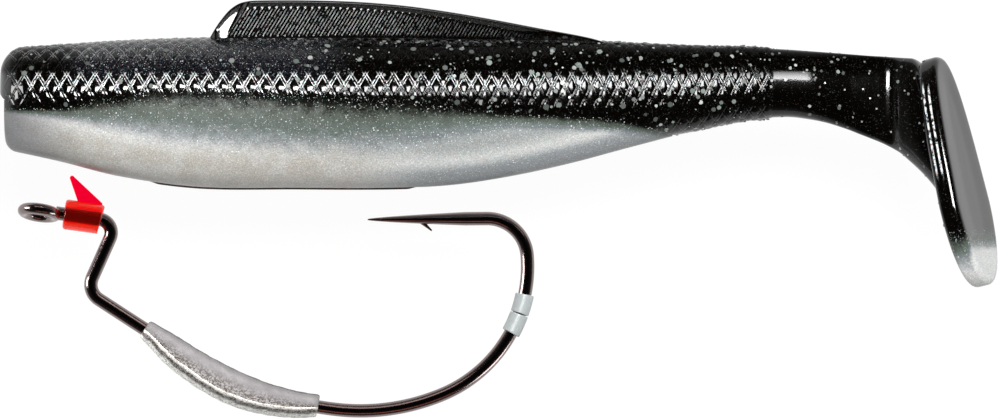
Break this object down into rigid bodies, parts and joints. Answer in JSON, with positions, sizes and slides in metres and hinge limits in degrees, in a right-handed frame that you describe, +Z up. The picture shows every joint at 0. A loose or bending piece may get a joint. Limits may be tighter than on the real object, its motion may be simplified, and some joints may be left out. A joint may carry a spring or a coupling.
{
  "type": "soft swimbait with keel-weighted hook",
  "caption": "Soft paddle-tail fishing lure in dark over pearl plastic with a ribbed split dorsal fin, lying beside its keel-weighted wide-gap hook.",
  "frame": {"origin": "on the table, under the middle of the whole set's bounding box", "axes": "+X runs from the bait's nose to its tail, +Y towards its back (the ribbed fin), +Z straight up from the table, which is across the bait from its right flank to its left"},
  "size_m": [0.1017, 0.0426, 0.0149],
  "materials": {
    "dark_plastic": "glossy dark translucent soft plastic with silver and green glitter",
    "pearl_plastic": "satin pearl soft plastic with fine speckle",
    "black_nickel": "black nickel plated wire, polished",
    "lead": "matte cast lead with a dull skin",
    "orange_keeper": "clear orange-red plastic, glossy",
    "crimson_barb": "crimson plastic, glossy",
    "clear_silicone": "clear to milky silicone tube"
  },
  "bodies": {
    "bait": {"back_laminate": "dark_plastic", "belly_laminate": "pearl_plastic"},
    "left_fin": {"left_fin": "dark_plastic"},
    "right_fin": {"right_fin": "dark_plastic"},
    "tail_root": {"tail_root": "dark_plastic"},
    "tail_stalk": {"tail_stalk": "dark_plastic"},
    "paddle": {"paddle": "dark_plastic", "paddle_tip": "pearl_plastic"},
    "hook": {"hook": "black_nickel", "keel_weight": "lead", "keeper_collar": "orange_keeper", "keeper_barb": "crimson_barb"},
    "upper_sleeve": {"upper_sleeve": "clear_silicone"},
    "lower_sleeve": {"lower_sleeve": "clear_silicone"}
  },
  "joints": [
    {"name": "tail_sway", "type": "hinge", "parent": "bait", "child": "tail_root", "pos_m": [0.02285, 0.0123, 0.0066], "axis": [0, 1, 0], "range_deg": [-15, 15], "stiffness_Nm_per_rad": 0.02},
    {"name": "stalk_sway", "type": "hinge", "parent": "tail_root", "child": "tail_stalk", "pos_m": [0.03145, 0.0127, 0.0066], "axis": [0, 1, 0], "range_deg": [-20, 20], "stiffness_Nm_per_rad": 0.02},
    {"name": "paddle_kick", "type": "hinge", "parent": "tail_stalk", "child": "paddle", "pos_m": [0.03995, 0.0105, 0.0066], "axis": [0, 1, 0], "range_deg": [-24, 66], "stiffness_Nm_per_rad": 0.01},
    {"name": "left_fin_flex", "type": "hinge", "parent": "bait", "child": "left_fin", "pos_m": [-0.02925, 0.01753, 0.00855], "axis": [1, 0, 0], "range_deg": [0, 20], "stiffness_Nm_per_rad": 0.004},
    {"name": "right_fin_flex", "type": "hinge", "parent": "bait", "child": "right_fin", "pos_m": [-0.02925, 0.01753, 0.00465], "axis": [-1, 0, 0], "range_deg": [0, 20], "stiffness_Nm_per_rad": 0.004},
    {"name": "hook_draw", "type": "slide", "parent": "bait", "child": "hook", "axis": [0, -1, 0], "range_m": [0, 0.03]},
    {"name": "upper_sleeve_slide", "type": "hinge", "parent": "hook", "child": "upper_sleeve", "pos_m": [-0.01137, -0.00581, 0.00137], "axis": [0.0296, 0.0366, 0.9989], "range_deg": [0, 12]},
    {"name": "lower_sleeve_slide", "type": "hinge", "parent": "hook", "child": "lower_sleeve", "pos_m": [-0.01137, -0.00581, 0.00137], "axis": [0.0296, 0.0366, 0.9989], "range_deg": [-12, 0]}
  ],
  "couplings": [
    {"joint": "stalk_sway", "follows": "tail_sway", "ratio": 1.3}
  ]
}
